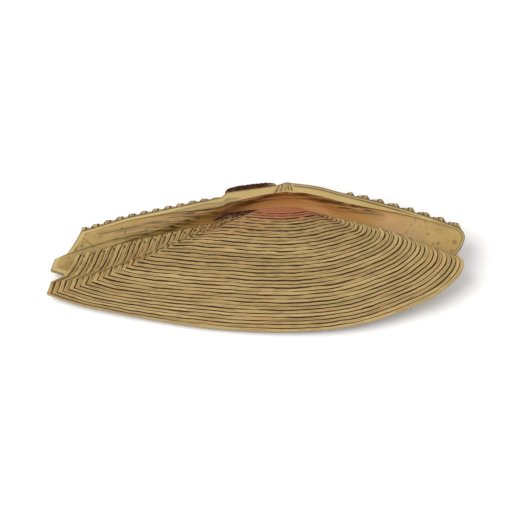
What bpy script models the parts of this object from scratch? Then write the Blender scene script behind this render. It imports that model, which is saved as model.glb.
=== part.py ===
"""The two valves of a long tellin-like bivalve, slid apart on their rims, each with its half ligament.

The left valve lies on its back with the hollow up, and the right valve lies on it like a lid, outside up.
Each valve is worked out in its own frame first: a runs forward along the shell, h runs up towards the
hinge, w runs out of the rim's plane, and the beak is at zero. The pair is then set down as it rests.
"""

import math

import bpy
import numpy as np

MM = 0.001

# The edge of one valve as it lies on the rim's plane, as (a, h) in millimetres from the beak.
# The front end and the belly are a smooth curve, from the front end of the hinge line to the tail's tip.
BELLY_POINTS = (
    (31.1, -8.3), (32.2, -9.6), (31.3, -12.2), (28.6, -15.0), (25.0, -17.3), (17.8, -20.3), (10.6, -22.1),
    (0.7, -22.8), (-11.0, -22.3), (-21.8, -20.8), (-35.3, -18.0), (-42.5, -15.7),
)
# The tail's cut end is straight between its corners: tip, spur, notch, a bend, end of the hinge line.
TAIL_POINTS = ((-42.5, -15.7), (-41.8, -13.6), (-39.5, -12.5), (-38.3, -10.5), (-37.2, -8.4))

# How the shell grew: each earlier edge is the last one made smaller and turned out about the hinge line.
TURN_RATE = 0.63
MOST_TURN = 2.2
TAIL_KEEL_TURN = 0.3
TAIL_KEEL_SPREAD = math.radians(9)
FRONT_KEEL_TURN = 0.5
FRONT_KEEL_SPREAD = 6.0

# The tail's middle sank lower while the shell grew from SAG_START on, between these directions.
TAIL_SAG = 1.3
SAG_START = 0.3
SAG_DIRECTIONS = (math.radians(13.0), math.radians(17.5), math.radians(60))

# Walls and edges, in millimetres.
EDGE = 0.5
INNER_DEPTH = 0.8
INNER_LENGTH = 0.98
INNER_HEIGHT = 0.96

# The hinge plate's width below the hinge line, and where it is wider: (added width, middle, reach) each.
HINGE_PLATE = 0.65
PLATE_WIDER = ((1.0, -12.0, 8.5), (0.3, 0.5, 2.0), (0.9, 10.0, 11.0))
HINGE_PLATE_FADE = 4.0

# Growth ledges lie between the smooth beak and the edge. RISER is the part of each ledge that drops.
SMOOTH_BEAK = 0.12
RISER = 0.18
LEDGE_STEP = 0.3
TAIL_LEDGE_STEP = 0.26
TAIL_LEDGE_DIRECTION = math.radians(15)
TAIL_LEDGE_SPREAD = math.radians(7)

# The ledges stand out as teeth on the hinge line, from this growth on, and fade out along the edge.
TEETH_GROWTH = (0.2, 0.45)
TEETH_REACH = 1.2
FRONT_TEETH_PER_LEDGE = 2 / 3

# The raised seat behind the beak that carries the ligament: where it starts, and where it has faded out.
SEAT_BACK = -11.8
SEAT_FRONT_FADE = 10.0
SEAT_DEPTH = 2.5

# The arches of the hinge line: the front one's start, top and end, where the right valve's front end sinks
# below it, and the tail one's start, the two ends of its flat top, and its end.
FRONT_ARCH = (-2.0, 8.0, 32.5)
FRONT_SINK = (20.0, 29.0)
TAIL_ARCH = (-38.0, -28.0, -12.0, 0.0)
ARCH_DEPTH = 6.0

# What differs between the valves. The arches are given as (front, tail), on the rim and on the keel. The
# teeth are given as (tail, front), and base is how far the keel between them stands up.
LEFT = {
    "seat": 0.7, "rim": (1.5, 0.75), "keel": (1.5, 0.75), "sink": 0.0,
    "ledges": 15, "teeth": (0.75, 0.75), "base": (0.4, 0.45),
}
RIGHT = {
    "seat": 0.4, "rim": (1.2, 0.75), "keel": (0.4, 0.0), "sink": 0.75,
    "ledges": 18, "teeth": (0.45, 0.3), "base": (-0.25, 0.0),
}

# Folds that run from the beak to the tail on the outside: (height, direction below the hinge line, width).
TAIL_FOLDS = (
    (-0.12, math.radians(12.0), math.radians(1.4)),
    (-0.38, math.radians(15.2), math.radians(1.2)),
    (0.42, math.radians(17.5), math.radians(0.8)),
    (0.28, math.radians(20.4), math.radians(0.9)),
    (-0.18, math.radians(25.0), math.radians(2.6)),
)
# The inside has one straight fold to the tail's notch.
INNER_FOLD = 0.3
INNER_FOLD_DIRECTION = math.radians(18.9)
INNER_FOLD_WIDTH = 0.7
INNER_FOLD_BACK = -30.0
INNER_FOLD_FRONT = -14.0

# The torn halves of the ligament.
# Each half is (front end, back end, half height, height above the rim), and both are equally deep.
LEFT_LIGAMENT = (-1.9, -11.2, 0.3, 0.5)
RIGHT_LIGAMENT = (-3.6, -12.9, 0.28, 0.13)
LIGAMENT_WIDTH = 0.42
LIGAMENT_OUT = 0.62
LIGAMENT_THIN_END = 0.75
CLEAR = 0.3

# How the pair lies: the right valve slid towards its belly, and the pair rolled on the left valve's back.
SLIDE_DOWN = 4.8
SLIDE_BACK = 0.34
ROLL = math.radians(17.5)
PITCH = math.radians(-1.9)
YAW = math.radians(-1.0)

# How finely each part of the mesh is cut.
BELLY_COLUMNS = 31
TAIL_CUTS = 3
INNER_ROWS = (0.0, 0.04, 0.1, 0.17, 0.26, 0.37, 0.49, 0.61, 0.73, 0.84, 0.93, 1.0)
BEAK_ROWS = (0.0, 0.025, 0.055, 0.085)
LIGAMENT_SIDES = 10
LIGAMENT_STATIONS = 15
CURVE_CUTS = 24


def smooth_step(low, high, value):
    """0 up to low, 1 from high on, and an even S between them."""
    x = np.clip((value - low) / (high - low), 0, 1)
    return x * x * (3 - 2 * x)


def bell(value, middle, width):
    """1 at the middle, falling away on both sides."""
    return np.exp(-(((value - middle) / width) ** 2))


def smooth_curve(points, count):
    """Points at even steps along a Catmull-Rom curve through the given ones, ends held."""
    points = np.array(points, float)
    padded = np.vstack([2 * points[0] - points[1], points, 2 * points[-1] - points[-2]])
    fine = []
    for i in range(len(points) - 1):
        p0, p1, p2, p3 = padded[i:i + 4]
        x = np.linspace(0, 1, CURVE_CUTS, endpoint=False)[:, None]
        fine.append(
            0.5 * (2 * p1 + (p2 - p0) * x + (2 * p0 - 5 * p1 + 4 * p2 - p3) * x**2
                   + (3 * p1 - p0 - 3 * p2 + p3) * x**3)
        )
    fine = np.vstack(fine + [points[-1:]])
    run = np.concatenate([[0], np.cumsum(np.linalg.norm(np.diff(fine, axis=0), axis=1))])
    steps = np.linspace(0, run[-1], count)
    return np.column_stack([np.interp(steps, run, fine[:, k]) for k in (0, 1)])


def margin():
    """The valve's edge from the front end of the hinge line, round the belly, to its tail end."""
    belly = smooth_curve(BELLY_POINTS, BELLY_COLUMNS)
    tail = []
    for start, end in zip(TAIL_POINTS[:-1], TAIL_POINTS[1:]):
        x = np.linspace(0, 1, TAIL_CUTS + 1)[1:, None]
        tail.append(np.array(start) * (1 - x) + np.array(end) * x)
    return np.vstack([belly] + tail)


def direction(edge):
    """How far each edge point lies below the level of the hinge, as an angle at the beak, tail side only."""
    return np.where(edge[:, 0] < 0, np.arctan2(-edge[:, 1], np.maximum(-edge[:, 0], 1e-9)), math.pi / 2)


def from_corner(edge, corner):
    """How far each edge point is from a corner of the edge."""
    return np.linalg.norm(edge - np.array(corner), axis=1)


def hinge_line(a):
    """The straight hinge lines' height below the beak at a place along the shell."""
    front = BELLY_POINTS[0]
    back = TAIL_POINTS[-1]
    return np.where(a > 0, a * front[1] / front[0], a * back[1] / back[0])


def settle(a, h, valve, keel=0.0):
    """Adds the hinge line's raised seat and its two arches, fading away below it.

    keel is 1 on the outside and 0 at the rim.
    """
    below = np.maximum(hinge_line(a) - h, 0)
    seat = smooth_step(SEAT_BACK, SEAT_BACK + 1, a) * (1 - smooth_step(0, SEAT_FRONT_FADE, a))
    start, top, end = FRONT_ARCH
    front = smooth_step(start, top, a) * (1 - np.clip((a - top) / (end - top), 0, 1) ** 3)
    first, flat_from, flat_to, last = TAIL_ARCH
    tail = smooth_step(first, flat_from, a) * (1 - smooth_step(flat_to, last, a))
    front_rise, tail_rise = ((1 - keel) * valve["rim"][k] + keel * valve["keel"][k] for k in (0, 1))
    rise = front_rise * front + tail_rise * tail - valve["sink"] * smooth_step(*FRONT_SINK, a)
    return h + valve["seat"] * seat * np.exp(-below / SEAT_DEPTH) + rise * np.exp(-below / ARCH_DEPTH)


def grown(s, edge, share):
    """The bare shell surface: each edge point scaled by s towards the beak and turned out about the hinge.

    share is 1 over the shell's face, and falls to 0 across the narrow strip between its keel and the rim.
    """
    growth = np.maximum(s, 1e-4)[:, None]
    turn = MOST_TURN * np.tanh(-TURN_RATE * np.log(growth) / MOST_TURN)
    angle = direction(edge)
    keel_angle = direction(np.array([TAIL_POINTS[-1]]))[0]
    flat = (1 - TAIL_KEEL_TURN) * bell(angle, keel_angle, TAIL_KEEL_SPREAD)
    flat = flat + (1 - FRONT_KEEL_TURN) * bell(from_corner(edge, BELLY_POINTS[0]), 0, FRONT_KEEL_SPREAD)
    turn = turn * (1 - flat)[None, :] * share[None, :]
    x = np.clip((1 - s) / (1 - SAG_START), 0, 1)[:, None]
    above, lowest, end = SAG_DIRECTIONS
    sink = smooth_step(above, lowest, angle) * (1 - smooth_step(lowest, end, angle))
    sag = TAIL_SAG * 27 / 4 * x * (1 - x) ** 2 * sink
    reach = s[:, None] * -edge[:, 1]
    return s[:, None] * edge[:, 0], -reach * np.cos(turn) - sag, reach * np.sin(turn)


def folds(edge):
    """The height of the tail's folds at the edge, which shrink towards the beak."""
    angle = direction(edge)
    return sum(high * bell(angle, at, wide) for high, at, wide in TAIL_FOLDS)


def ledge_rows(valve):
    """The growth stages at which the mesh has a row: on the smooth beak, and at each ledge's foot and top."""
    stops = np.linspace(SMOOTH_BEAK, 1, valve["ledges"] + 1)
    feet = stops[:-1] + (stops[1:] - stops[:-1]) * RISER
    return np.concatenate([BEAK_ROWS, [SMOOTH_BEAK], np.column_stack([feet, stops[1:]]).reshape(-1)])


def ledge_profile(s, count):
    """How far each growth stage stands up its ledge: a steep drop from 1 to 0, then a slow rise back."""
    phase = (s - SMOOTH_BEAK) / (1 - SMOOTH_BEAK) * count
    x = phase - np.floor(phase + 1e-6)
    return np.where(phase <= 0, 0, np.where(x < RISER, 1 - x / RISER, (x - RISER) / (1 - RISER)))


def outer_face(edge, share, valve):
    """The ledged outside, over the face where share is 1 and across the keel's strip where it is less."""
    s = ledge_rows(valve)
    a, h, w = grown(s, edge, share)
    young = smooth_step(0, SMOOTH_BEAK, s)[:, None]
    lift = ledge_profile(s, valve["ledges"])[:, None]
    tail = bell(direction(edge), TAIL_LEDGE_DIRECTION, TAIL_LEDGE_SPREAD)
    w = w + share * (EDGE * young + folds(edge) * s[:, None] + lift * (LEDGE_STEP + TAIL_LEDGE_STEP * tail))
    front_lift = ledge_profile(s, valve["ledges"] * FRONT_TEETH_PER_LEDGE)[:, None]
    corners = ((TAIL_POINTS[-1], lift), (BELLY_POINTS[0], front_lift))
    teeth = sum(
        (tooth * rise + base) * np.exp(-from_corner(edge, corner) / TEETH_REACH)
        for tooth, base, (corner, rise) in zip(valve["teeth"], valve["base"], corners))
    return a, settle(a, h, valve, share) + share * smooth_step(*TEETH_GROWTH, s)[:, None] * teeth, w


def inner_face(edge, share, valve):
    """The smooth inside: the bare shell drawn in from the rim and hinge, made shallower, with one fold."""
    a, h, w = grown(np.array(INNER_ROWS), edge, share)
    below = np.maximum(hinge_line(a) - h, 0)
    plate = HINGE_PLATE + sum(more * bell(a, middle, reach) for more, middle, reach in PLATE_WIDER)
    drawn = INNER_HEIGHT * h - plate * np.exp(-below / HINGE_PLATE_FADE)
    a, h = INNER_LENGTH * a, settle(a, drawn, valve)
    behind = 1 - smooth_step(INNER_FOLD_BACK, INNER_FOLD_FRONT, a)
    fold = bell(h, a * math.tan(INNER_FOLD_DIRECTION), INNER_FOLD_WIDTH) * behind
    w = INNER_DEPTH * w
    return a, h, w - np.minimum(INNER_FOLD * fold, w / 2)


class Weld:
    """Collects points and faces, and gives points at one place one number."""

    def __init__(self):
        self.points = []
        self.faces = []
        self.seen = {}

    def point(self, place):
        key = tuple(np.round(place, 6) + 0.0)
        if key not in self.seen:
            self.seen[key] = len(self.points)
            self.points.append(key)
        return self.seen[key]

    def face(self, *corners):
        kept = [c for i, c in enumerate(corners) if c != corners[i - 1]]
        if len(set(kept)) >= 3:
            self.faces.append(kept)

    def grid(self, a, h, w, flip=False):
        """Adds a grid of points and its faces, and returns the grid of point numbers."""
        numbers = np.array([[self.point(p) for p in row] for row in np.stack([a, h, w], axis=-1)])
        for i in range(len(numbers) - 1):
            for j in range(len(numbers[0]) - 1):
                ring = (numbers[i, j], numbers[i + 1, j], numbers[i + 1, j + 1], numbers[i, j + 1])
                self.face(*(ring[::-1] if flip else ring))
        return numbers

    def zip_loops(self, outer, inner):
        """Fills the flat ring between two chains of (place along the ring, point number)."""
        i = j = 0
        while i < len(outer) - 1 or j < len(inner) - 1:
            take_outer = j == len(inner) - 1 or (i < len(outer) - 1 and outer[i + 1][0] <= inner[j + 1][0])
            if take_outer:
                self.face(outer[i][1], outer[i + 1][1], inner[j][1])
                i += 1
            else:
                self.face(outer[i][1], inner[j + 1][1], inner[j][1])
                j += 1


def rim_chain(first_column, rows, last_row, last_column):
    """The rim as one chain: out along the front hinge line, round the edge, back along the tail's."""
    across = np.linspace(1, 2, len(last_row))
    chain = list(zip(rows, first_column))
    chain += list(zip(across[1:], last_row[1:]))
    chain += list(zip(3 - rows[::-1][1:], last_column[::-1][1:]))
    return chain


def valve_mesh(valve):
    """One valve as points in millimetres and faces, outside facing out along +w."""
    edge = margin()
    face_share = np.ones(len(edge))
    strip_share = np.array([0.0, 1.0])
    front, back = np.repeat(edge[:1], 2, axis=0), np.repeat(edge[-1:], 2, axis=0)
    weld = Weld()
    a, h, w = outer_face(edge, face_share, valve)
    weld.grid(a, h, w, flip=True)
    first = weld.grid(*outer_face(front, strip_share, valve), flip=True)[:, 0]
    last = weld.grid(*outer_face(back, strip_share[::-1], valve), flip=True)[:, 1]
    rim_h = settle(*edge.T, valve)
    band_places = np.stack([a[-1], a[-1]]), np.stack([h[-1], rim_h]), np.stack([w[-1], 0 * w[-1]])
    band = weld.grid(*band_places, flip=True)
    outer = rim_chain(first, ledge_rows(valve), band[1], last)
    inside = weld.grid(*inner_face(edge, face_share, valve))
    first = weld.grid(*inner_face(front, strip_share, valve))[:, 0]
    last = weld.grid(*inner_face(back, strip_share[::-1], valve))[:, 1]
    inner = rim_chain(first, np.array(INNER_ROWS), inside[-1], last)
    weld.zip_loops(outer, inner)
    return np.array(weld.points), weld.faces


def ligament_mesh(half, valve):
    """Half a ligament: an oval bar on its seat behind the beak, thin at the beak and blunt behind."""
    front_end, back_end, half_height, clear = half
    weld = Weld()
    x = np.linspace(0, 1, LIGAMENT_STATIONS)
    a = front_end + (back_end - front_end) * x
    ramp = LIGAMENT_THIN_END + (1 - LIGAMENT_THIN_END) * smooth_step(0, 0.5, x)
    swell = np.sqrt(np.clip(1 - (2 * x - 1) ** 6, 0, 1)) * ramp
    seat = settle(a, hinge_line(a), valve) + clear
    turn = np.linspace(0, 2 * math.pi, LIGAMENT_SIDES + 1)[:, None]
    h = seat + half_height * (ramp + swell * np.cos(turn))
    weld.grid(a + 0 * turn, h, LIGAMENT_OUT + LIGAMENT_WIDTH * swell * np.sin(turn), flip=True)
    return np.array(weld.points), weld.faces


def placed(points, left):
    """From a valve's own frame to the pair's: the left valve faces down, the right one is slid over it."""
    a, h, w = points.T
    if left:
        return np.column_stack([a, h, -w])
    return np.column_stack([a - SLIDE_BACK, h - SLIDE_DOWN, w + CLEAR])


def laid(points):
    """The pair rolled towards its belly and pitched, as it comes to rest, and turned to lie along X."""
    a, h, w = points.T
    y = h * math.cos(ROLL) - w * math.sin(ROLL)
    z = h * math.sin(ROLL) + w * math.cos(ROLL)
    x = a * math.cos(PITCH) + z * math.sin(PITCH)
    z = z * math.cos(PITCH) - a * math.sin(PITCH)
    return np.column_stack([
        x * math.cos(YAW) - y * math.sin(YAW), x * math.sin(YAW) + y * math.cos(YAW), z])


def material(name, colour, roughness):
    made = bpy.data.materials.new(name)
    made.use_nodes = True
    shader = made.node_tree.nodes["Principled BSDF"]
    shader.inputs["Base Color"].default_value = (*colour, 1)
    shader.inputs["Roughness"].default_value = roughness
    shader.inputs["Metallic"].default_value = 0
    return made


def solid(name, points, faces, made_of, mirrored):
    mesh = bpy.data.meshes.new(name)
    mesh.from_pydata(points.tolist(), [], [face[::-1] if mirrored else face for face in faces])
    mesh.materials.append(made_of)
    thing = bpy.data.objects.new(name, mesh)
    bpy.context.scene.collection.objects.link(thing)


def main():
    for thing in list(bpy.data.objects):
        bpy.data.objects.remove(thing)
    shell = material("shell", (0.42, 0.3, 0.12), 0.5)
    horn = material("ligament", (0.05, 0.02, 0.008), 0.6)
    pieces = (
        ("left_valve", *valve_mesh(LEFT), shell, True),
        ("right_valve", *valve_mesh(RIGHT), shell, False),
        ("left_ligament", *ligament_mesh(LEFT_LIGAMENT, LEFT), horn, True),
        ("right_ligament", *ligament_mesh(RIGHT_LIGAMENT, RIGHT), horn, False),
    )
    spots = {name: laid(placed(points, left)) for name, points, _, _, left in pieces}
    everything = np.vstack(list(spots.values()))
    low, high = everything.min(axis=0), everything.max(axis=0)
    origin = np.array([(low[0] + high[0]) / 2, (low[1] + high[1]) / 2, low[2]])
    for name, _, faces, made_of, left in pieces:
        solid(name, (spots[name] - origin) * MM, faces, made_of, left)


main()
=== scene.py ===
"""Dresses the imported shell: two finely ledged valves and their torn ligament halves, on a pale floor."""

import math

import bmesh
import bpy
import numpy as np
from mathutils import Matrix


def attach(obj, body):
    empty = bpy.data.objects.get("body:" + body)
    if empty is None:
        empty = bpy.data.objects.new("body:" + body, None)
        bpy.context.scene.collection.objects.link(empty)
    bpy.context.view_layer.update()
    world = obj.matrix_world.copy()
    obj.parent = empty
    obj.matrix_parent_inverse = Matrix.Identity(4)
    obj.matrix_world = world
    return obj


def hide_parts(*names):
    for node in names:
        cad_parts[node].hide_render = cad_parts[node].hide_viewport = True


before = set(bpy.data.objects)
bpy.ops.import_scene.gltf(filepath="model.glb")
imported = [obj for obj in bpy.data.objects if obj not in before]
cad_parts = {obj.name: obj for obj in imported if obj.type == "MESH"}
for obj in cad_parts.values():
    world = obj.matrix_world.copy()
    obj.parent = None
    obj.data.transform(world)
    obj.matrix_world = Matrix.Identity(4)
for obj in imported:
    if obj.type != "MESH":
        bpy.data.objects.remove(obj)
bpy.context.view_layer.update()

MM = 0.001

# The valve's edge, in millimetres from the beak: a runs forward along the shell, h up towards the hinge.
BELLY_POINTS = (
    (31.1, -8.3), (32.2, -9.6), (31.3, -12.2), (28.6, -15.0), (25.0, -17.3), (17.8, -20.3), (10.6, -22.1),
    (0.7, -22.8), (-11.0, -22.3), (-21.8, -20.8), (-35.3, -18.0), (-42.5, -15.7),
)
# The tail's cut end: tip, spur, notch, a bend, end of the hinge line.
TAIL_POINTS = ((-42.5, -15.7), (-41.8, -13.6), (-39.5, -12.5), (-38.3, -10.5), (-37.2, -8.4))

# How the shell grew, as in the solids: each earlier edge is the last one made smaller and turned out.
TURN_RATE = 0.63
MOST_TURN = 2.2
TAIL_KEEL_TURN = 0.3
TAIL_KEEL_SPREAD = math.radians(9)
FRONT_KEEL_TURN = 0.5
FRONT_KEEL_SPREAD = 6.0
TAIL_SAG = 1.3
SAG_START = 0.3
SAG_DIRECTIONS = (math.radians(13.0), math.radians(17.5), math.radians(60))
# This times x times (1 - x) squared is 1 at its highest.
SAG_HUMP = 27 / 4

# Walls and edges, in millimetres.
EDGE = 0.5
INNER_DEPTH = 0.8
INNER_LENGTH = 0.98
INNER_HEIGHT = 0.96
HINGE_PLATE = 0.65
PLATE_WIDER = ((1.0, -12.0, 8.5), (0.3, 0.5, 2.0), (0.9, 10.0, 11.0))
HINGE_PLATE_FADE = 4.0

# Growth ledges. The main ones end as teeth on the hinge line, and each is two fine ones. RISER is the part of
# a ledge that drops.
SMOOTH_BEAK = 0.12
RISER = 0.18
LEDGE_STEP = 0.3
TAIL_LEDGE_STEP = 0.26
TAIL_LEDGE_DIRECTION = math.radians(15)
TAIL_LEDGE_SPREAD = math.radians(7)
FINE_PER_LEDGE = 2
FINE_STEP = 0.12
TAIL_FINE_STEP = 0.2
TEETH_GROWTH = (0.2, 0.45)
TEETH_REACH = 1.2
FRONT_TEETH_PER_LEDGE = 2 / 3

# The raised seat behind the beak that carries the ligament, and the arches of the hinge line: the front one's
# start, top and end, where the front end sinks, and the tail one's start, its flat top's ends and its end.
SEAT_BACK = -11.8
SEAT_BACK_RAMP = 1.0
SEAT_FRONT_FADE = 10.0
SEAT_DEPTH = 2.5
FRONT_ARCH = (-2.0, 8.0, 32.5)
FRONT_SINK = (20.0, 29.0)
TAIL_ARCH = (-38.0, -28.0, -12.0, 0.0)
ARCH_DEPTH = 6.0

# What differs between the valves. The arches are given as (front, tail), on the rim and on the keel. The
# teeth are given as (tail, front), and base is how far the keel between them stands up.
LEFT = {
    "seat": 0.7, "rim": (1.5, 0.75), "keel": (1.5, 0.75), "sink": 0.0,
    "ledges": 15, "teeth": (0.75, 0.75), "base": (0.4, 0.45),
}
RIGHT = {
    "seat": 0.4, "rim": (1.2, 0.75), "keel": (0.4, 0.0), "sink": 0.75,
    "ledges": 18, "teeth": (0.45, 0.3), "base": (-0.25, 0.0),
}

# Folds that run from the beak to the tail on the outside: (height, direction below the hinge line, width).
TAIL_FOLDS = (
    (-0.12, math.radians(12.0), math.radians(1.4)),
    (-0.38, math.radians(15.2), math.radians(1.2)),
    (0.42, math.radians(17.5), math.radians(0.8)),
    (0.28, math.radians(20.4), math.radians(0.9)),
    (-0.18, math.radians(25.0), math.radians(2.6)),
)
# The inside has one straight fold to the tail's notch.
INNER_FOLD = 0.3
INNER_FOLD_DIRECTION = math.radians(18.9)
INNER_FOLD_WIDTH = 0.7
INNER_FOLD_BACK = -30.0
INNER_FOLD_FRONT = -14.0

# How dark the outside's dark lines are, which are painted shade where each fine ledge drops: where they fade
# in from the beak, away from the tail, how much more on the tail, in a band halfway out as (more, stage,
# reach), and along the edge as (more, its start).
INK_START = (0.06, 0.22)
INK_PLAIN = 0.65
INK_ON_TAIL = 0.35
INK_BAND = (0.3, 0.6, 0.05)
INK_EDGE = (0.35, 0.9)
BANDS_LOST_ON_TAIL = 0.7
TAIL_INK_DIRECTION = math.radians(15.5)
TAIL_INK_SPREAD = math.radians(5)

# Where the outside is salmon, and where it has a faint tint of it, as (strength, middle, reach, no tint below
# this height, full from this height on).
SALMON_PLACES = ((1.0, 0.5, 8.5, -4.6, -1.2), (0.3, -9.0, 9.0, -9.0, -4.0))

# The inside's orange fades along the shell and down from the hinge. The shade under the hinge plate fades
# downwards too, and ends along the shell between these places.
ORANGE_LENGTH = 18.0
ORANGE_DEPTH = 20.0
UNDER_PLATE = 0.8
UNDER_PLATE_DEPTH = 1.1
UNDER_PLATE_BACK = (-30.0, -14.0)
UNDER_PLATE_FRONT = (9.0, 19.0)
DEEPEST = 12.0

# Thin dark strokes and soft shades on the inside, as (start, end, width, strength) on the rim's plane.
INNER_STROKES = (
    ((-40.0, -12.9), (-36.4, -11.6), 0.11, 0.8), ((-36.4, -11.6), (-31.0, -9.8), 0.13, 0.9),
    ((-31.0, -9.8), (-25.2, -8.6), 0.16, 0.8), ((-36.6, -9.8), (-34.7, -11.3), 0.11, 0.8),
    ((-34.3, -8.7), (-31.1, -8.25), 0.1, 0.5), ((-31.1, -8.25), (-23.6, -6.4), 0.12, 0.6),
)
INNER_SHADES = (
    ((-31.0, -9.9), (-20.6, -7.0), 0.6, 0.9), ((-24.6, -8.4), (-16.4, -5.7), 0.7, 0.9),
    ((-33.5, -8.8), (-20.0, -5.9), 0.45, 0.8), ((-21.0, -6.0), (-13.0, -4.0), 0.55, 0.45),
    ((6.8, -2.0), (17.2, -5.4), 0.55, 0.9), ((-37.5, -13.2), (-35.0, -13.8), 0.5, 0.4),
)

# The painted shade in the notches between the right valve's tail teeth: how deep it goes, the share of each
# ledge that it takes, how soft its ends are, how dark it is and where it fades in below the hinge line.
NOTCH_DEPTH = 1.0
NOTCH_SHARE = 0.5
NOTCH_SOFT = 0.15
NOTCH_SHADE = 0.85
NOTCH_FROM = (0.02, 0.12)

# The hinge plate: how far the dark line on its edge reaches, and its orange at the beak as (strength, reach).
PLATE_EDGE = (0.1, 0.22)
PLATE_EDGE_DARK = 0.9
PLATE_ORANGE = (0.5, 14.0)

# The thin dark line inside the rounded front end's rim.
FRONT_LINE_DEPTH = 0.5
FRONT_LINE_FROM = (25.0, 29.0)
FRONT_LINE_DARK = 0.8

# The seam along the tail side's plate, as (place along the shell, depth), and where it fades in and out. The
# plate slopes away beyond it, and painted shade darkens it there.
SEAM = ((-34.0, 1.0), (-24.0, 0.85), (-17.5, 0.72), (-14.5, 0.58), (-11.5, 1.1), (-8.4, 1.45))
SEAM_BACK = (-27.0, -21.0)
SEAM_FRONT = (-9.5, -7.5)
SEAM_WIDTH = 0.09
SEAM_DARK = 0.75
SLOPE_START = (0.0, 0.15)

# The hinge plate's groove, and its fan of strokes round a point above the beak. Starts and ends are where
# each fades in and out: along the shell for the groove, by depth for the fan.
GROOVE_DEPTH = 0.5
GROOVE_WIDTH = 0.13
GROOVE_RELIEF = 0.16
GROOVE_START = (0.6, 2.0)
GROOVE_END = (19.0, 27.0)
FAN_TOP = (0.05, 2.6)
FAN_TURNS = (-0.5, -0.29, -0.06, 0.13, 0.31)
FAN_WIDTH = 0.04
FAN_RELIEF = 0.2
FAN_START = (0.1, 0.35)
FAN_END = (1.2, 1.6)
FAN_DARK = 1.2

# The ligament halves, each as (front end, back end, half height, height above the rim).
LEFT_LIGAMENT = (-1.9, -11.2, 0.3, 0.5)
RIGHT_LIGAMENT = (-3.6, -12.9, 0.28, 0.13)
LIGAMENT_WIDTH = 0.42
LIGAMENT_OUT = 0.62
LIGAMENT_THIN_END = 0.75
LIGAMENT_SUNK = 0.15
LIGAMENT_BLUNTNESS = 6

# The ligament's raised fibres, each as (height, waves round the bar, radians along it). Its ragged top's
# long waves are (height, radians of one, its shift, radians of the other), and its short ones are (height,
# radians, bend, radians of the bend). The top is where the turn round the bar has a cosine above
# RAGGED_ABOVE. The torn part is low on the bar, and comes in between two values of minus that cosine.
FIBRES = ((0.035, 11, 16), (0.025, 19, -37))
LONG_RAGS = (0.05, 47, 1.3, 23)
SHORT_RAGS = (0.035, 91, 2, 9)
RAGGED_ABOVE = -0.5
TORN_BELOW = (0.3, 1.0)

# How the pair lies, as in the solids.
CLEAR = 0.3
SLIDE_DOWN = 4.8
SLIDE_BACK = 0.34
ROLL = math.radians(17.5)
PITCH = math.radians(-1.9)
YAW = math.radians(-1.0)
ORIGIN = (-5.500363, -12.674052, -8.894020)

# The sides of a valve's surface, as its mark has them.
OUTSIDE = 0.0
INSIDE = 1.0
PLATE = 2.0

# How finely the surfaces are cut. FINE_CUTS are the places of the rows within each fine ledge.
BEAK_ROWS = 20
FINE_CUTS = (0.0, 0.09, 0.18, 0.36, 0.58, 0.8)
BELLY_COLUMNS = 134
TAIL_COLUMNS = 38
STRIP_COLUMNS = 5
RIM_ROWS = 13
CURVE_CUTS = 40
LIGAMENT_SIDES = 72
LIGAMENT_STATIONS = 180

# Points nearer to each other than the first are made one, and faces narrower than the second are dropped.
MERGE_WITHIN = 0.0002 * MM
FLAT_WITHIN = 0.00001 * MM

# Numbers near zero that keep a logarithm, an angle and a ledge's first place from going astray.
LEAST_STAGE = 1e-4
LEAST_LENGTH = 1e-9
LEDGE_SLIP = 1e-6

# The camera looks down by ELEVATION, over the belly, 18 degrees off the upright of the rims' plane.
ELEVATION = math.radians(54.5)
MM_PER_PIXEL = 0.18
IMAGE_SIDE = 512
LENS = 150.0
SENSOR = 36.0
AIM = (0.0, 0.0, 0.005)
CLIP = (0.01, 10)

# The lamps, as (name, place, width, power), the world's light and the floor's half side.
LAMPS = (("key", (-0.24, -0.12, 0.44), 0.4, 2.0), ("fill", (0.3, -0.4, 0.3), 0.5, 0.9))
WORLD_STRENGTH = 0.62
FLOOR_REACH = 3.0


def smooth_step(low, high, value):
    """0 up to low, 1 from high on, and an even S between them."""
    x = np.clip((value - low) / (high - low), 0, 1)
    return x * x * (3 - 2 * x)


def bell(value, middle, width):
    """1 at the middle, falling away on both sides."""
    return np.exp(-(((value - middle) / width) ** 2))


def smooth_curve(points, count):
    """Points at even steps along a Catmull-Rom curve through the given ones."""
    points = np.array(points, float)
    padded = np.vstack([2 * points[0] - points[1], points, 2 * points[-1] - points[-2]])
    x = np.linspace(0, 1, CURVE_CUTS, endpoint=False)[None, :, None]
    p0, p1, p2, p3 = (padded[k:k + len(points) - 1, None, :] for k in range(4))
    fine = 0.5 * (2 * p1 + (p2 - p0) * x + (2 * p0 - 5 * p1 + 4 * p2 - p3) * x**2
                  + (3 * p1 - p0 - 3 * p2 + p3) * x**3)
    fine = np.vstack([fine.reshape(-1, 2), points[-1:]])
    run = np.concatenate([[0], np.cumsum(np.linalg.norm(np.diff(fine, axis=0), axis=1))])
    steps = np.linspace(0, run[-1], count)
    return np.column_stack([np.interp(steps, run, fine[:, k]) for k in (0, 1)])


def margin():
    """The valve's edge: a smooth curve round the front and the belly, then the tail's straight runs."""
    belly = smooth_curve(BELLY_POINTS, BELLY_COLUMNS)
    corners = np.array(TAIL_POINTS)
    run = np.concatenate([[0], np.cumsum(np.linalg.norm(np.diff(corners, axis=0), axis=1))])
    steps = np.linspace(0, run[-1], TAIL_COLUMNS + 1)[1:]
    tail = np.column_stack([np.interp(steps, run, corners[:, k]) for k in (0, 1)])
    return np.vstack([belly, tail])


def direction(edge):
    """The angle of each tail-side edge point below the level of the hinge, seen from the beak."""
    a, h = edge.T
    return np.where(a < 0, np.arctan2(-h, np.maximum(-a, LEAST_LENGTH)), math.pi / 2)


def from_corner(edge, corner):
    """How far each edge point is from a corner of the edge."""
    return np.linalg.norm(edge - np.array(corner), axis=1)


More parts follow.
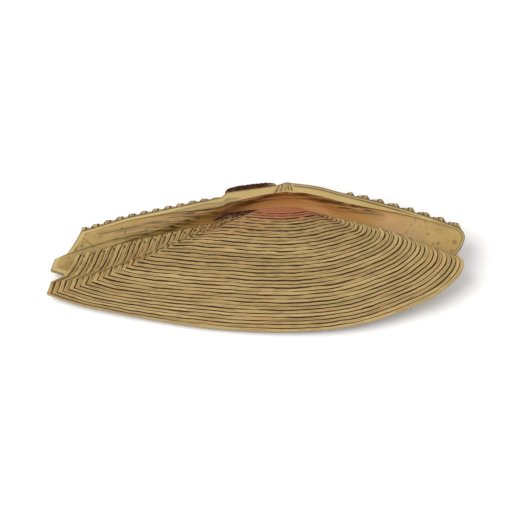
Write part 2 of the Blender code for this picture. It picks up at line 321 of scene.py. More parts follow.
def hinge_line(a):
    """The height of the straight hinge lines below the beak at a place along the shell."""
    front, back = BELLY_POINTS[0], TAIL_POINTS[-1]
    return np.where(a > 0, a * front[1] / front[0], a * back[1] / back[0])


def settle(a, h, kind, keel=0.0):
    """Adds the raised ligament seat and the hinge line's arches, each times exp(-depth below / its reach).

    The front arch falls from its top as 1 - x cubed, and the rest are even steps up and down.
    """
    below = np.maximum(hinge_line(a) - h, 0)
    seat = smooth_step(SEAT_BACK, SEAT_BACK + SEAT_BACK_RAMP, a) * (1 - smooth_step(0, SEAT_FRONT_FADE, a))
    start, top, end = FRONT_ARCH
    front = smooth_step(start, top, a) * (1 - np.clip((a - top) / (end - top), 0, 1) ** 3)
    first, flat_from, flat_to, last = TAIL_ARCH
    tail = smooth_step(first, flat_from, a) * (1 - smooth_step(flat_to, last, a))
    front_rise, tail_rise = ((1 - keel) * kind["rim"][k] + keel * kind["keel"][k] for k in (0, 1))
    rise = front_rise * front + tail_rise * tail - kind["sink"] * smooth_step(*FRONT_SINK, a)
    return h + kind["seat"] * seat * np.exp(-below / SEAT_DEPTH) + rise * np.exp(-below / ARCH_DEPTH)


def grown(s, edge, share):
    """The bare shell: each edge point times s, turned out about the hinge by -TURN_RATE log s times share.

    The turn levels off at MOST_TURN and is smaller at the keels. The tail's middle also sinks by TAIL_SAG
    times a hump in s, which is SAG_HUMP times x times (1 - x) squared.
    """
    growth = np.maximum(s, LEAST_STAGE)[:, None]
    turn = MOST_TURN * np.tanh(-TURN_RATE * np.log(growth) / MOST_TURN)
    angle = direction(edge)
    keel_angle = direction(np.array([TAIL_POINTS[-1]]))[0]
    flat = (1 - TAIL_KEEL_TURN) * bell(angle, keel_angle, TAIL_KEEL_SPREAD)
    flat = flat + (1 - FRONT_KEEL_TURN) * bell(from_corner(edge, BELLY_POINTS[0]), 0, FRONT_KEEL_SPREAD)
    turn = turn * (1 - flat) * share
    x = np.clip((1 - s) / (1 - SAG_START), 0, 1)[:, None]
    above, lowest, end = SAG_DIRECTIONS
    sink = smooth_step(above, lowest, angle) * (1 - smooth_step(lowest, end, angle))
    sag = TAIL_SAG * SAG_HUMP * x * (1 - x) ** 2 * sink
    reach = s[:, None] * -edge[:, 1]
    return s[:, None] * edge[:, 0], -reach * np.cos(turn) - sag, reach * np.sin(turn)


def folds(edge):
    """The height of the tail's folds at the edge, which shrink towards the beak."""
    angle = direction(edge)
    return sum(high * bell(angle, at, wide) for high, at, wide in TAIL_FOLDS)


def ledge_profile(s, count):
    """How far a growth stage stands up its ledge: from 1 down to 0 in its first part, then slowly up."""
    phase = (s - SMOOTH_BEAK) / (1 - SMOOTH_BEAK) * count
    x = phase - np.floor(phase + LEDGE_SLIP)
    return np.where(phase <= 0, 0, np.where(x < RISER, 1 - x / RISER, (x - RISER) / (1 - RISER)))


def growth_rows(kind):
    """The growth stages of the mesh's rows: even on the beak, then the same places on every fine ledge."""
    stops = np.linspace(SMOOTH_BEAK, 1, FINE_PER_LEDGE * kind["ledges"] + 1)
    places = stops[:-1, None] + (stops[1] - stops[0]) * np.array(FINE_CUTS)
    beak = np.linspace(0, SMOOTH_BEAK, BEAK_ROWS, endpoint=False)
    return np.concatenate([beak, places.reshape(-1), [1.0]])


def outer_face(s, edge, share, kind):
    """The ledged outside: the bare shell plus wall, folds and ledges out along w, and the teeth along h."""
    a, h, w = grown(s, edge, share)
    stage = s[:, None]
    lift = ledge_profile(stage, kind["ledges"])
    fine = ledge_profile(stage, FINE_PER_LEDGE * kind["ledges"])
    tail = bell(direction(edge), TAIL_LEDGE_DIRECTION, TAIL_LEDGE_SPREAD)
    grow = smooth_step(SMOOTH_BEAK, 2 * SMOOTH_BEAK, stage)
    ledges = lift * (LEDGE_STEP + TAIL_LEDGE_STEP * tail)
    ledges = ledges + grow * (fine - 1) * (FINE_STEP + TAIL_FINE_STEP * tail)
    w = w + share * (EDGE * smooth_step(0, SMOOTH_BEAK, stage) + folds(edge) * stage + ledges)
    front_lift = ledge_profile(stage, kind["ledges"] * FRONT_TEETH_PER_LEDGE)
    corners = ((TAIL_POINTS[-1], lift), (BELLY_POINTS[0], front_lift))
    teeth = sum(
        (tooth * rise + base) * np.exp(-from_corner(edge, corner) / TEETH_REACH)
        for tooth, base, (corner, rise) in zip(kind["teeth"], kind["base"], corners))
    return a, settle(a, h, kind, share) + share * smooth_step(*TEETH_GROWTH, stage) * teeth, w


def plate_width(a):
    """The hinge plate's width below the hinge line."""
    return HINGE_PLATE + sum(more * bell(a, middle, reach) for more, middle, reach in PLATE_WIDER)


def inner_face(s, edge, share, kind):
    """The smooth inside: the bare shell drawn in from rim and hinge and made shallower, with one fold."""
    a, h, w = grown(s, edge, share)
    below = np.maximum(hinge_line(a) - h, 0)
    drawn = INNER_HEIGHT * h - plate_width(a) * np.exp(-below / HINGE_PLATE_FADE)
    a, h = INNER_LENGTH * a, settle(a, drawn, kind)
    ends = 1 - smooth_step(INNER_FOLD_BACK, INNER_FOLD_FRONT, a)
    fold = bell(h, a * math.tan(INNER_FOLD_DIRECTION), INNER_FOLD_WIDTH) * ends
    w = INNER_DEPTH * w
    return a, h, w - np.minimum(INNER_FOLD * fold, w / 2)


def placed(points, left):
    """From a valve's own frame to the pair's: the left outside faces down, the right one is slid over it."""
    a, h, w = points.T
    if left:
        return np.column_stack([a, h, -w])
    return np.column_stack([a - SLIDE_BACK, h - SLIDE_DOWN, w + CLEAR])


def laid(points):
    """The pair rolled, pitched and turned as it rests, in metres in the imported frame."""
    a, h, w = points.T
    y = h * math.cos(ROLL) - w * math.sin(ROLL)
    z = h * math.sin(ROLL) + w * math.cos(ROLL)
    x = a * math.cos(PITCH) + z * math.sin(PITCH)
    z = z * math.cos(PITCH) - a * math.sin(PITCH)
    turned = np.column_stack([
        x * math.cos(YAW) - y * math.sin(YAW), x * math.sin(YAW) + y * math.cos(YAW), z])
    return (turned - np.array(ORIGIN)) * MM


def near_strokes(a, h, strokes):
    """The strokes at each place, added up: strength times exp(-(distance from it / its width) squared)."""
    total = 0
    for start, end, width, strength in strokes:
        start, end = np.array(start), np.array(end)
        run = end - start
        x = np.clip(((a - start[0]) * run[0] + (h - start[1]) * run[1]) / (run @ run), 0, 1)
        apart = (a - start[0] - x * run[0]) ** 2 + (h - start[1] - x * run[1]) ** 2
        total = total + strength * np.exp(-apart / width**2)
    return total


def outer_marks(a, h, stage, edge, kind):
    """Where the outside is salmon (round the beak), how dark its lines of painted ledge shade are, and its
    notches' painted shade.

    The lines fade out on the beak, and are darker on the tail, in a band halfway out and along the edge. On
    the right valve, painted shade fills a notch below the tail's hinge line in the first part of each ledge,
    and narrows away from that line.
    """
    tail = bell(direction(edge), TAIL_INK_DIRECTION, TAIL_INK_SPREAD)
    more, middle, reach = INK_BAND
    edge_more, edge_start = INK_EDGE
    bands = more * bell(stage, middle, reach) + edge_more * smooth_step(edge_start, 1, stage)
    bands = bands * (1 - BANDS_LOST_ON_TAIL * tail)
    ink = smooth_step(*INK_START, stage) * (INK_PLAIN + INK_ON_TAIL * tail + bands)
    warm = np.maximum(*(
        strength * bell(a, place, wide) * smooth_step(low, high, h)
        for strength, place, wide, low, high in SALMON_PLACES))
    notch = 0.0
    if kind is RIGHT:
        down = from_corner(edge, TAIL_POINTS[-1]) * stage
        past = ledge_profile(stage, kind["ledges"]) + down / NOTCH_DEPTH - NOTCH_SHARE
        # Painted shade in the notches between the tail's teeth.
        notch = NOTCH_SHADE * (1 - smooth_step(0.0, NOTCH_SOFT, past)) * smooth_step(*NOTCH_FROM, down)
        notch = notch * smooth_step(*TEETH_GROWTH, stage)
    return {"warm": warm, "ink": ink, "dark": notch, "tail": tail}


def inner_marks(a, h, kind):
    """Where the inside is orange, where it is shaded under the hinge plate, and its few thin lines."""
    plate_edge = settle(a, INNER_HEIGHT * hinge_line(a) - plate_width(a), kind)
    below = np.maximum(plate_edge - h, 0)
    warm = bell(a, 0.0, ORANGE_LENGTH) * np.exp(-below / ORANGE_DEPTH)
    under = bell(below, 0, UNDER_PLATE_DEPTH) * smooth_step(*UNDER_PLATE_BACK, a)
    under = UNDER_PLATE * under * (1 - smooth_step(*UNDER_PLATE_FRONT, a))
    dark = np.minimum(under + near_strokes(a, h, INNER_SHADES), 1)
    ink = np.minimum(near_strokes(a, h, INNER_STROKES), 1)
    return {"warm": warm, "ink": ink, "dark": dark, "below": np.minimum(below, DEEPEST)}


def rim_lines(a, h, depth):
    """Two sets of lines on the hinge plate: the groove in front of the beak, and the fan below the beak."""
    groove = bell(depth, GROOVE_DEPTH, GROOVE_WIDTH) * smooth_step(*GROOVE_START, a)
    groove = groove * (1 - smooth_step(*GROOVE_END, a))
    turn = np.arctan2(a - FAN_TOP[0], FAN_TOP[1] - h)
    fan = sum(bell(turn, at, FAN_WIDTH) for at in FAN_TURNS)
    return groove, fan * smooth_step(*FAN_START, depth) * (1 - smooth_step(*FAN_END, depth))


def rim_marks(a, h, depth):
    """The plate's dark lines and the painted shade on its slope beyond the seam, depth being how far in from
    the edge.
    """
    groove, fan = rim_lines(a, h, depth)
    edge_line = PLATE_EDGE_DARK * (1 - smooth_step(*PLATE_EDGE, depth))
    front_line = bell(depth, FRONT_LINE_DEPTH, GROOVE_WIDTH) * smooth_step(*FRONT_LINE_FROM, a)
    beyond = depth - np.interp(a, *np.transpose(SEAM))
    seam_share = smooth_step(*SEAM_BACK, a) * (1 - smooth_step(*SEAM_FRONT, a))
    seam = SEAM_DARK * seam_share * bell(beyond, 0, SEAM_WIDTH)
    fan = np.minimum(FAN_DARK * fan, 1)
    lines = np.maximum.reduce([edge_line, FRONT_LINE_DARK * front_line, groove, fan, seam])
    strength, reach = PLATE_ORANGE
    # Painted shade where the plate slopes away beyond the seam.
    slope = seam_share * smooth_step(*SLOPE_START, beyond)
    return {"warm": strength * bell(a, 0.0, reach), "ink": lines, "dark": slope, "below": depth}


class Surface:
    """Collects grids of points with their marks (named numbers per point), to be made one mesh."""

    MARKS = ("stage", "along", "side", "warm", "ink", "dark", "tail", "below")

    def __init__(self):
        self.points, self.faces, self.count = [], [], 0
        self.marks = {name: [] for name in self.MARKS}

    def grid(self, a, h, w, flip=False, **marks):
        """Adds a grid of points, its quads and its marks."""
        rows, columns = a.shape
        numbers = self.count + np.arange(rows * columns).reshape(rows, columns)
        quads = np.stack([numbers[:-1, :-1], numbers[1:, :-1], numbers[1:, 1:], numbers[:-1, 1:]], axis=-1)
        quads = quads.reshape(-1, 4)
        self.points.append(np.stack([a, h, w], axis=-1).reshape(-1, 3))
        self.faces.append(quads[:, ::-1] if flip else quads)
        for name, held in self.marks.items():
            held.append(np.broadcast_to(marks.get(name, 0.0), a.shape).reshape(-1))
        self.count += rows * columns

    def object(self, name, left, finish):
        """One mesh object, its doubled points merged, turned inside out for the mirrored left valve."""
        points = laid(placed(np.vstack(self.points), left))
        faces = np.vstack(self.faces)
        faces = faces[:, ::-1] if left else faces
        mesh = bpy.data.meshes.new(name)
        mesh.from_pydata(points, [], faces.tolist())
        for mark, held in self.marks.items():
            layer = mesh.attributes.new(mark, "FLOAT", "POINT")
            layer.data.foreach_set("value", np.concatenate(held).astype(np.float32))
        mesh.materials.append(finish)
        merge(mesh)
        mesh.shade_smooth()
        thing = bpy.data.objects.new(name, mesh)
        bpy.context.scene.collection.objects.link(thing)
        return thing


def merge(mesh):
    """Makes points at one place one, and drops the faces that this leaves without an area."""
    work = bmesh.new()
    work.from_mesh(mesh)
    bmesh.ops.remove_doubles(work, verts=work.verts, dist=MERGE_WITHIN)
    bmesh.ops.dissolve_degenerate(work, dist=FLAT_WITHIN, edges=work.edges)
    work.to_mesh(mesh)
    work.free()


def rim_chain(shape, s, edge, kind):
    """The rim's edge on one face: out along the front hinge line, round the edge, back along the tail's."""
    chain = []
    for ends, stages, order in ((edge[:1], s, 1), (edge, s[-1:], 1), (edge[-1:], s, -1)):
        a, h, _ = shape(stages, ends, np.zeros(len(ends)), kind)
        chain.append(np.column_stack([a.reshape(-1), h.reshape(-1)])[::order])
    return np.vstack(chain)


def rim_relief(a, h, across, depth):
    """How far the rim dips into the wall: the groove's and the fan's depth, times 4 x (1 - x) across it."""
    groove, fan = rim_lines(a, h, depth)
    return 4 * across * (1 - across) * (GROOVE_RELIEF * groove + FAN_RELIEF * np.minimum(fan, 1))


def valve(name, left, finish):
    """A valve's outside, its inside and its rim, each worked out on the same rows and columns.

    A narrow strip at each end of the edge turns with a share from 0 to 1, and closes the valve on its hinge
    line. A band then joins the last ledge to the rim's plane, and the rim fills the gap between the faces.
    """
    kind = LEFT if left else RIGHT
    surface = Surface()
    edge = margin()
    s = growth_rows(kind)
    stage = s[:, None]
    along = np.linspace(0, 1, len(edge))
    strip = np.linspace(0, 1, STRIP_COLUMNS)
    whole = np.ones(len(edge))
    front = np.repeat(edge[:1], STRIP_COLUMNS, axis=0)
    back = np.repeat(edge[-1:], STRIP_COLUMNS, axis=0)
    parts = ((front, strip, 0.0), (edge, whole, along), (back, strip[::-1], 1.0))
    for ends, share, place in parts:
        a, h, w = outer_face(s, ends, share, kind)
        marks = outer_marks(a, h, stage, ends, kind)
        surface.grid(a, h, w, flip=True, stage=stage, along=place, side=OUTSIDE, **marks)
    for ends, share, place in parts:
        a, h, w = inner_face(s, ends, share, kind)
        surface.grid(a, h, w, stage=stage, along=place, side=INSIDE, **inner_marks(a, h, kind))

    a, h, w = outer_face(s[-1:], edge, whole, kind)
    drop = np.linspace(1, 0, STRIP_COLUMNS)[:, None]
    plain = settle(*edge.T, kind)
    a, h, w = np.broadcast_arrays(a, plain + (h - plain) * drop, w * drop)
    surface.grid(a, h, w, flip=True, stage=1.0, along=along, side=OUTSIDE)

    outer, inner = (rim_chain(shape, s, edge, kind) for shape in (outer_face, inner_face))
    across = np.linspace(0, 1, RIM_ROWS)[:, None]
    a = outer[:, 0] * (1 - across) + inner[:, 0] * across
    h = outer[:, 1] * (1 - across) + inner[:, 1] * across
    depth = across * np.linalg.norm(outer - inner, axis=1)
    place = np.linspace(0, 1, len(outer))
    dip = rim_relief(a, h, across, depth)
    surface.grid(a, h, dip, flip=True, stage=depth, along=place, side=PLATE, **rim_marks(a, h, depth))
    return surface.object(name, left, finish)


def ligament(name, left, finish):
    """Half a ligament: an oval bar that rests on its seat, with a ragged top and fibres raised along it.

    With x from -1 to 1 along the bar, its height and width go as the root of 1 - x to the power of
    LIGAMENT_BLUNTNESS. The ragged top adds a product of two long waves, and a short wave bent by a long one.
    """
    kind = LEFT if left else RIGHT
    front_end, back_end, half_height, clear = LEFT_LIGAMENT if left else RIGHT_LIGAMENT
    x = np.linspace(0, 1, LIGAMENT_STATIONS)[None, :]
    turn = np.linspace(0, 2 * math.pi, LIGAMENT_SIDES + 1)[:, None]
    a = front_end + (back_end - front_end) * x
    ramp = LIGAMENT_THIN_END + (1 - LIGAMENT_THIN_END) * smooth_step(0, 0.5, x)
    swell = np.sqrt(np.clip(1 - (2 * x - 1) ** LIGAMENT_BLUNTNESS, 0, 1))
    rim = settle(a, hinge_line(a), kind)
    low = rim - LIGAMENT_SUNK
    high = rim + clear + half_height * ramp * (1 + swell)
    height, run, shift, other_run = LONG_RAGS
    ragged = height * np.sin(run * x + shift) * np.sin(other_run * x)
    height, run, bend, bend_run = SHORT_RAGS
    ragged = ragged + height * np.sin(run * x + bend * np.sin(bend_run * x))
    fibre = 1 + sum(rise * np.sin(rounds * turn + runs * x) for rise, rounds, runs in FIBRES)
    fibre = fibre + ragged * (np.cos(turn) > RAGGED_ABOVE)
    h = (low + high) / 2 + (high - low) / 2 * swell * fibre * np.cos(turn)
    w = LIGAMENT_OUT + LIGAMENT_WIDTH * swell * ramp * fibre * np.sin(turn)
    surface = Surface()
    lowness = smooth_step(*TORN_BELOW, -np.cos(turn))
    place = turn / (2 * math.pi)
    surface.grid(np.broadcast_to(a, h.shape), h, w, flip=True, stage=x, along=place, dark=lowness)
    return surface.object(name, left, finish)


class Finish:
    """A material being put together: each call adds one node and gives back its output."""

    # The colour sockets of a Mix node, which has one set of sockets for each kind of value.
    MIX_FIRST = 6
    MIX_SECOND = 7
    MIX_RESULT = 2

    def __init__(self, name):
        self.material = bpy.data.materials.new(name)
        self.material.use_nodes = True
        self.tree = self.material.node_tree
        self.shader = self.tree.nodes["Principled BSDF"]
        self.place = self.node("ShaderNodeTexCoord").outputs["Object"]

    def node(self, kind, **settings):
        """A new node with these settings."""
        made = self.tree.nodes.new(kind)
        for name, value in settings.items():
            setattr(made, name, value)
        return made

    def plug(self, socket, value):
        """Puts a number, a colour or another node's output into a socket."""
        if isinstance(value, bpy.types.NodeSocket):
            self.tree.links.new(value, socket)
        elif isinstance(value, tuple):
            socket.default_value = (*value, 1)
        else:
            socket.default_value = value

    def set(self, **values):
        """Puts values into the shader's sockets, whose names have spaces for the underscores here."""
        for name, value in values.items():
            self.plug(self.shader.inputs[name.replace("_", " ")], value)

    def marks(self, *names):
        """The piece's own marks."""
        return [self.node("ShaderNodeAttribute", attribute_name=name).outputs["Fac"] for name in names]

    def math(self, kind, *values, clamp=False):
        """One step of arithmetic."""
        made = self.node("ShaderNodeMath", operation=kind, use_clamp=clamp)
        for socket, value in zip(made.inputs, values):
            self.plug(socket, value)
        return made.outputs[0]

    def times(self, first, second, clamp=False):
        """first times second."""
        return self.math("MULTIPLY", first, second, clamp=clamp)

    def times_plus(self, first, second, third, clamp=False):
        """first times second, plus third."""
        return self.math("MULTIPLY_ADD", first, second, third, clamp=clamp)

    def step(self, value, low, high, start=0.0, end=1.0):
        """start up to low, end from high on, an even S between."""
        made = self.node("ShaderNodeMapRange", interpolation_type="SMOOTHSTEP")
        given = {"Value": value, "From Min": low, "From Max": high, "To Min": start, "To Max": end}
        for name, number in given.items():
            self.plug(made.inputs[name], number)
        return made.outputs["Result"]

    def noise(self, scale, detail, place=None):
        """Soft noise with about scale grains to the unit of its place, which is the metre of the object."""
        made = self.node("ShaderNodeTexNoise")
        self.plug(made.inputs["Vector"], place or self.place)
        self.plug(made.inputs["Scale"], scale)
        self.plug(made.inputs["Detail"], detail)
        return made.outputs["Fac"]

    def streaks(self, x, y, detail):
        """Soft noise whose place is two numbers, one grain to the unit of each."""
        made = self.node("ShaderNodeCombineXYZ")
        self.plug(made.inputs["X"], x)
        self.plug(made.inputs["Y"], y)
        return self.noise(1.0, detail, made.outputs[0])

    def blend(self, share, first, second):
        """The first colour where share is 0, the second where it is 1."""
        made = self.node("ShaderNodeMix", data_type="RGBA")
        self.plug(made.inputs[0], share)
        self.plug(made.inputs[self.MIX_FIRST], first)
        self.plug(made.inputs[self.MIX_SECOND], second)
        return made.outputs[self.MIX_RESULT]

    def bump(self, height, distance, strength):
        """A normal for a height of 0 to 1 times distance in metres."""
        made = self.node("ShaderNodeBump")
        self.plug(made.inputs["Strength"], strength)
        self.plug(made.inputs["Distance"], distance)
        self.plug(made.inputs["Height"], height)
        return made.outputs[0]


# The colours of the finishes, as linear red, green and blue.
TAN_LIGHT = (0.46, 0.325, 0.130)
TAN_MID = (0.32, 0.215, 0.075)
TAN_WARM = (0.40, 0.235, 0.085)
LINE_BROWN = (0.026, 0.012, 0.003)
SALMON = (0.35, 0.115, 0.042)
UMBER_TAN = (0.40, 0.21, 0.075)
INNER_TAN = (0.34, 0.227, 0.063)
INNER_OLIVE = (0.28, 0.183, 0.043)
# Painted shade on the hinge plate's slope beyond the seam.
SLOPE_SHADE_OLIVE = (0.14, 0.090, 0.022)
INNER_ORANGE = (0.52, 0.215, 0.060)
SHADE_BROWN = (0.075, 0.026, 0.006)
SHADE_OLIVE = (0.085, 0.048, 0.010)
PLATE_PALE = (0.43, 0.305, 0.115)
HORN_BLACK = (0.014, 0.005, 0.002)
HORN_RED = (0.062, 0.017, 0.007)
HORN_DOT = (0.15, 0.050, 0.024)
TORN_PALE = (0.34, 0.22, 0.12)
FLOOR_DARKER = (0.90, 0.90, 0.89)
FLOOR_LIGHTER = (0.92, 0.92, 0.915)

# Grains of noise to the metre.
CLOUDS = 260
SPECK_PATCHES = 240
WANDERING = 300
FLOOR_GRAIN = 900
SPECKS = 1300
GRAIN = 2600
FINE_GRAIN = 9000

# The dark lines of painted shade where each fine ledge drops, in shares of a fine ledge: how far they wander,
# how wide they are, how much wider and later they are on the tail, how wide their start is, the sharp share
# of their width, and the hair line.
LINE_WANDER = 0.4
LINE_WIDTH = (0.2, 0.38)
TAIL_LINE_WIDER = 0.16
TAIL_LINE_LATER = 0.12
LINE_START = 0.05
LINE_SHARP = 0.75
HAIR_PLACE = 0.66
HAIR_WIDTH = (0.02, 0.09)
HAIR_DARK = 0.75

# Each is (grains along the edge, grains out from the beak or jump from ledge to ledge).
LINE_BREAKS = (15.0, 3.7)
HAIR_BREAKS = (22.0, 2.3)
HAIR_SHIFT = 9.0
STRIAE = (5.0, 420.0)
BANDS = (1.2, 26.0)

# The hatching of the shaded inside: its strokes to the millimetre below the plate, how much its noise bends
# them and growth tilts them, and the noise's own grains below the plate and out from the beak.
HATCH_STROKES = 2.0
HATCH_BEND = 2.4
HATCH_TILT = 3.0
HATCH_GRAINS = (1.6, 6.0)

# How rough and how glossy each finish is, and how deep its fine relief goes, in metres.
OUTSIDE_ROUGH = 0.55
INSIDE_ROUGH = 0.38
LINE_ROUGHER = 0.2
GRAIN_ROUGHER = 0.08
SHELL_GLOSS = 0.35
SHELL_RELIEF = 0.00006
SHELL_RELIEF_SHARE = 0.8
HORN_ROUGH = (0.5, 0.75)
HORN_GLOSS = 0.1
HORN_RELIEF = 0.00012
HORN_RELIEF_SHARE = 0.9
FLOOR_ROUGH = 0.85
FLOOR_GLOSS = 0.2
FLOOR_RELIEF = 0.00004
FLOOR_RELIEF_SHARE = 0.3

# The shares of the shell's relief: striae, dark lines, grain and fine grain.
STRIAE_RISE = 0.6
LINE_RISE = -0.9
GRAIN_RISE = 0.3
FINE_GRAIN_RISE = 0.22

# The horn's streaks, as (grains along the bar, grains round it).
HORN_STREAKS = (9.0, 34.0)


def ledge_shade_and_hair_lines(f, ledges):
    """How dark the lines are, from 0 to 1: painted shade where each fine ledge drops, and hair lines.

    The phase is the growth stage in fine ledges, moved a little by noise: its whole part is the row, and the
    rest is the place within it. A line of painted shade fills the first part of each row, where the ledge
    drops, and in some stretches a hair line follows it. Noise that jumps from row to row makes both wider,
    thinner, darker or fainter along the row.
    """
    stage, along, ink, tail = f.marks("stage", "along", "ink", "tail")
    wander = f.times_plus(f.noise(WANDERING, 3), LINE_WANDER, -LINE_WANDER / 2)
    rows = FINE_PER_LEDGE * ledges / (1 - SMOOTH_BEAK)
    phase = f.times_plus(f.math("SUBTRACT", stage, SMOOTH_BEAK), rows, wander)
    within, row = f.math("FRACT", phase), f.math("FLOOR", phase)

    breaks = f.streaks(f.times(along, LINE_BREAKS[0]), f.times(row, LINE_BREAKS[1]), 3)
    inked = f.times(ink, f.step(breaks, 0.28, 0.44, 0.6, 1.55), clamp=True)
    wide = f.times_plus(tail, TAIL_LINE_WIDER, f.step(breaks, 0.35, 0.65, *LINE_WIDTH))
    # A line of painted shade on the drop at the start of each fine ledge.
    line = f.times(f.step(within, f.times(wide, LINE_SHARP), wide, 1.0, 0.0), inked, clamp=True)
    begun = f.step(within, f.times(tail, TAIL_LINE_LATER), f.times_plus(tail, TAIL_LINE_LATER, LINE_START))

    jump = f.times_plus(row, HAIR_BREAKS[1], HAIR_SHIFT)
    hair_breaks = f.streaks(f.times(along, HAIR_BREAKS[0]), jump, 2)
    apart = f.math("ABSOLUTE", f.math("SUBTRACT", within, HAIR_PLACE))
    hair = f.times(f.step(apart, *HAIR_WIDTH, HAIR_DARK, 0.0), f.step(hair_breaks, 0.5, 0.58))
    return f.math("MAXIMUM", f.times(line, begun), f.times(hair, inked, clamp=True))


def outside_colour(f, line, cloud, striae):
    """Tan in growth bands and finer striae, umber to salmon at the beak, under the dark lines (painted shade
    on each ledge's drop, and hair lines) and the notches' painted shade.
    """
    stage, along, warm, dark = f.marks("stage", "along", "warm", "dark")
    bands = f.streaks(f.times(along, BANDS[0]), f.times(stage, BANDS[1]), 3)
    tan = f.blend(f.step(bands, 0.35, 0.68), TAN_LIGHT, TAN_MID)
    tan = f.blend(f.step(cloud, 0.42, 0.7, 0.0, 0.6), tan, TAN_WARM)
    tan = f.blend(f.step(striae, 0.45, 0.7, 0.0, 0.5), tan, TAN_MID)
    tan = f.blend(f.step(warm, 0.02, 0.4), tan, UMBER_TAN)
    tan = f.blend(f.step(warm, 0.3, 0.75), tan, SALMON)
    # Dark brown over the lines and notches: painted shade, with the hair lines.
    return f.blend(f.math("MAXIMUM", line, dark), tan, LINE_BROWN)


def hatching(f):
    """Strokes across the shaded inside, from 0 to 1, and the noise that bends them.

    The depth below the plate, counted in strokes, is bent and tilted. A stroke lies halfway between each two
    whole numbers of it.
    """
    stage, below = f.marks("stage", "below")
    bend = f.streaks(f.times(below, HATCH_GRAINS[0]), f.times(stage, HATCH_GRAINS[1]), 2)
    moved = f.times_plus(bend, HATCH_BEND, f.times(stage, HATCH_TILT))
    count = f.times_plus(below, HATCH_STROKES, moved)
    return f.step(f.math("PINGPONG", count, 0.5), 0.16, 0.34), bend


def inside_colour(f, cloud, grain, strokes, bend):
    """Olive tan to orange at the beak, with specks off the orange, hatched shade and thin dark lines."""
    warm, ink, dark = f.marks("warm", "ink", "dark")
    orange = f.times(warm, f.step(cloud, 0.2, 0.75, 0.8, 1.15), clamp=True)
    inner = f.blend(orange, f.blend(f.step(cloud, 0.35, 0.65), INNER_TAN, INNER_OLIVE), INNER_ORANGE)
    inner = f.blend(f.step(grain, 0.5, 0.75, 0.0, 0.3), inner, TAN_MID)
    specks = f.times(f.step(f.noise(SPECKS, 2), 0.6, 0.66), f.step(f.noise(SPECK_PATCHES, 1), 0.42, 0.55))
    inner = f.blend(f.times(specks, f.step(orange, 0.1, 0.5, 0.6, 0.0)), inner, SHADE_OLIVE)
    shade = f.times_plus(strokes, 0.7, f.step(bend, 0.4, 0.62, 0.1, 0.35))
    inner = f.blend(f.times(dark, shade, clamp=True), inner, f.blend(orange, SHADE_OLIVE, SHADE_BROWN))
    return f.blend(f.times(ink, 0.9, clamp=True), inner, LINE_BROWN)


def plate_colour(f, cloud, grain, strokes):
    """The pale hinge plate and rim, with painted olive hatched shade on the slope beyond the seam, and thin
    dark lines.
    """
    ink, dark = f.marks("ink", "dark")
    plate = f.blend(f.step(cloud, 0.35, 0.7, 0.0, 0.5), PLATE_PALE, INNER_TAN)
    plate = f.blend(f.step(grain, 0.5, 0.7, 0.0, 0.2), plate, TAN_MID)
    # Painted olive shade, hatched, on the slope beyond the seam.
    plate = f.blend(f.times(dark, f.step(strokes, 0.2, 0.9, 0.25, 0.8)), plate, SLOPE_SHADE_OLIVE)
    return f.blend(f.times(ink, 0.92, clamp=True), plate, LINE_BROWN)


def shell_finish(name, ledges):
    """One valve's skin: dull and lined outside, smoother inside, with a pale plate, each by the side's mark.

    The outside's low relief is raised along the striae and sunk along the dark lines.
    """
    f = Finish(name)
    stage, along, side = f.marks("stage", "along", "side")
    cloud, grain, fine_grain = f.noise(CLOUDS, 4), f.noise(GRAIN, 3), f.noise(FINE_GRAIN, 2)
    striae = f.streaks(f.times(along, STRIAE[0]), f.times(stage, STRIAE[1]), 2)
    # Dark lines: painted shade on each ledge's drop, and hair lines.
    line = ledge_shade_and_hair_lines(f, ledges)
    strokes, bend = hatching(f)
    is_inside, is_plate = (f.step(side, face - 0.6, face - 0.4) for face in (INSIDE, PLATE))
    outside, inside = outside_colour(f, line, cloud, striae), inside_colour(f, cloud, grain, strokes, bend)
    colour = f.blend(is_plate, f.blend(is_inside, outside, inside), plate_colour(f, cloud, grain, strokes))
    rough = f.step(is_inside, 0.0, 1.0, OUTSIDE_ROUGH, INSIDE_ROUGH)
    rough = f.times_plus(line, LINE_ROUGHER, rough, clamp=True)
    rough = f.times_plus(grain, GRAIN_ROUGHER, rough, clamp=True)
    height = f.times_plus(line, LINE_RISE, f.times(striae, STRIAE_RISE))
    height = f.times(height, f.math("SUBTRACT", 1.0, is_inside))
    height = f.times_plus(grain, GRAIN_RISE, f.times_plus(fine_grain, FINE_GRAIN_RISE, height))
    normal = f.bump(height, SHELL_RELIEF, SHELL_RELIEF_SHARE)
    f.set(Base_Color=colour, Roughness=rough, Specular_IOR_Level=SHELL_GLOSS, Normal=normal)
    return f.material


def horn_finish():
    """Dry dark horn: streaks along the bar, pale torn fibres low on it and at its front, and rough."""
    f = Finish("torn_horn")
    stage, along, low = f.marks("stage", "along", "dark")
    streaks = f.streaks(f.times(stage, HORN_STREAKS[0]), f.times(along, HORN_STREAKS[1]), 4)
    beads = f.noise(GRAIN, 2)
    colour = f.blend(f.step(streaks, 0.35, 0.65), HORN_BLACK, HORN_RED)
    colour = f.blend(f.step(beads, 0.52, 0.68, 0.0, 0.5), colour, HORN_DOT)
    torn = f.math("MAXIMUM", low, f.step(stage, 0.05, 0.22, 0.75, 0.0))
    colour = f.blend(f.times(torn, f.step(beads, 0.4, 0.56), clamp=True), colour, TORN_PALE)
    rough = f.step(streaks, 0.3, 0.7, *HORN_ROUGH)
    normal = f.bump(f.math("ADD", streaks, beads), HORN_RELIEF, HORN_RELIEF_SHARE)
    f.set(Base_Color=colour, Roughness=rough, Specular_IOR_Level=HORN_GLOSS, Normal=normal)
    return f.material


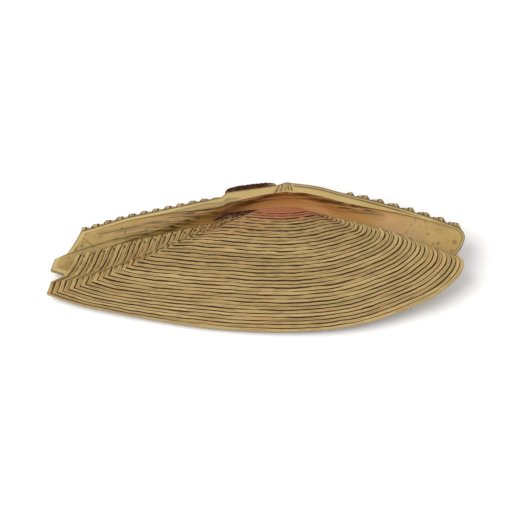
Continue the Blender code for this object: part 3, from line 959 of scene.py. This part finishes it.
def floor_finish():
    """Pale matt paper with a faint grain."""
    f = Finish("floor_paper")
    grain = f.noise(FLOOR_GRAIN, 3)
    colour = f.blend(grain, FLOOR_DARKER, FLOOR_LIGHTER)
    normal = f.bump(grain, FLOOR_RELIEF, FLOOR_RELIEF_SHARE)
    f.set(Base_Color=colour, Roughness=FLOOR_ROUGH, Specular_IOR_Level=FLOOR_GLOSS, Normal=normal)
    return f.material


def camera():
    """Looks along +Y and down, so that the pair lies in the frame where the drawing has it."""
    data = bpy.data.cameras.new("camera")
    data.lens, data.sensor_width = LENS, SENSOR
    data.clip_start, data.clip_end = CLIP
    thing = bpy.data.objects.new("camera", data)
    bpy.context.scene.collection.objects.link(thing)
    distance = IMAGE_SIDE * MM_PER_PIXEL * MM * LENS / SENSOR
    back = np.array([0, -math.cos(ELEVATION), math.sin(ELEVATION)])
    thing.location = np.array(AIM) + back * distance
    thing.rotation_euler = (math.pi / 2 - ELEVATION, 0, 0)
    bpy.context.scene.camera = thing


def lights():
    """A broad soft lamp above left, a weaker one to the right, both aimed at the origin, and a pale world."""
    for name, place, wide, power in LAMPS:
        data = bpy.data.lights.new(name, "AREA")
        data.shape, data.size, data.energy = "DISK", wide, power
        thing = bpy.data.objects.new(name, data)
        thing.location = place
        x, y, z = place
        thing.rotation_euler = (math.atan2(math.hypot(x, y), z), 0, math.atan2(-y, -x) - math.pi / 2)
        bpy.context.scene.collection.objects.link(thing)
    world = bpy.data.worlds.new("studio")
    world.use_nodes = True
    sky = world.node_tree.nodes["Background"].inputs
    sky["Color"].default_value = (1, 1, 1, 1)
    sky["Strength"].default_value = WORLD_STRENGTH
    bpy.context.scene.world = world


def floor():
    """One pale square under the shell."""
    mesh = bpy.data.meshes.new("floor")
    corners = [(x * FLOOR_REACH, y * FLOOR_REACH, 0) for x, y in ((-1, -1), (1, -1), (1, 1), (-1, 1))]
    mesh.from_pydata(corners, [], [(0, 1, 2, 3)])
    mesh.materials.append(floor_finish())
    thing = bpy.data.objects.new("floor", mesh)
    bpy.context.scene.collection.objects.link(thing)


camera()
lights()
floor()
bpy.context.scene.view_settings.view_transform = "Standard"

# Each node's finish. A node's own name says which side it is on and which of the two kinds it is.
finishes = {
    "left_valve": shell_finish("left_shell", LEFT["ledges"]),
    "right_valve": shell_finish("right_shell", RIGHT["ledges"]),
}
finishes["left_ligament"] = finishes["right_ligament"] = horn_finish()
for node, finish in finishes.items():
    side, kind = node.split("_")
    made = valve if kind == "valve" else ligament
    piece = made(f"{node}_grown", side == "left", finish)
    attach(piece, "root")
    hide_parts(node)
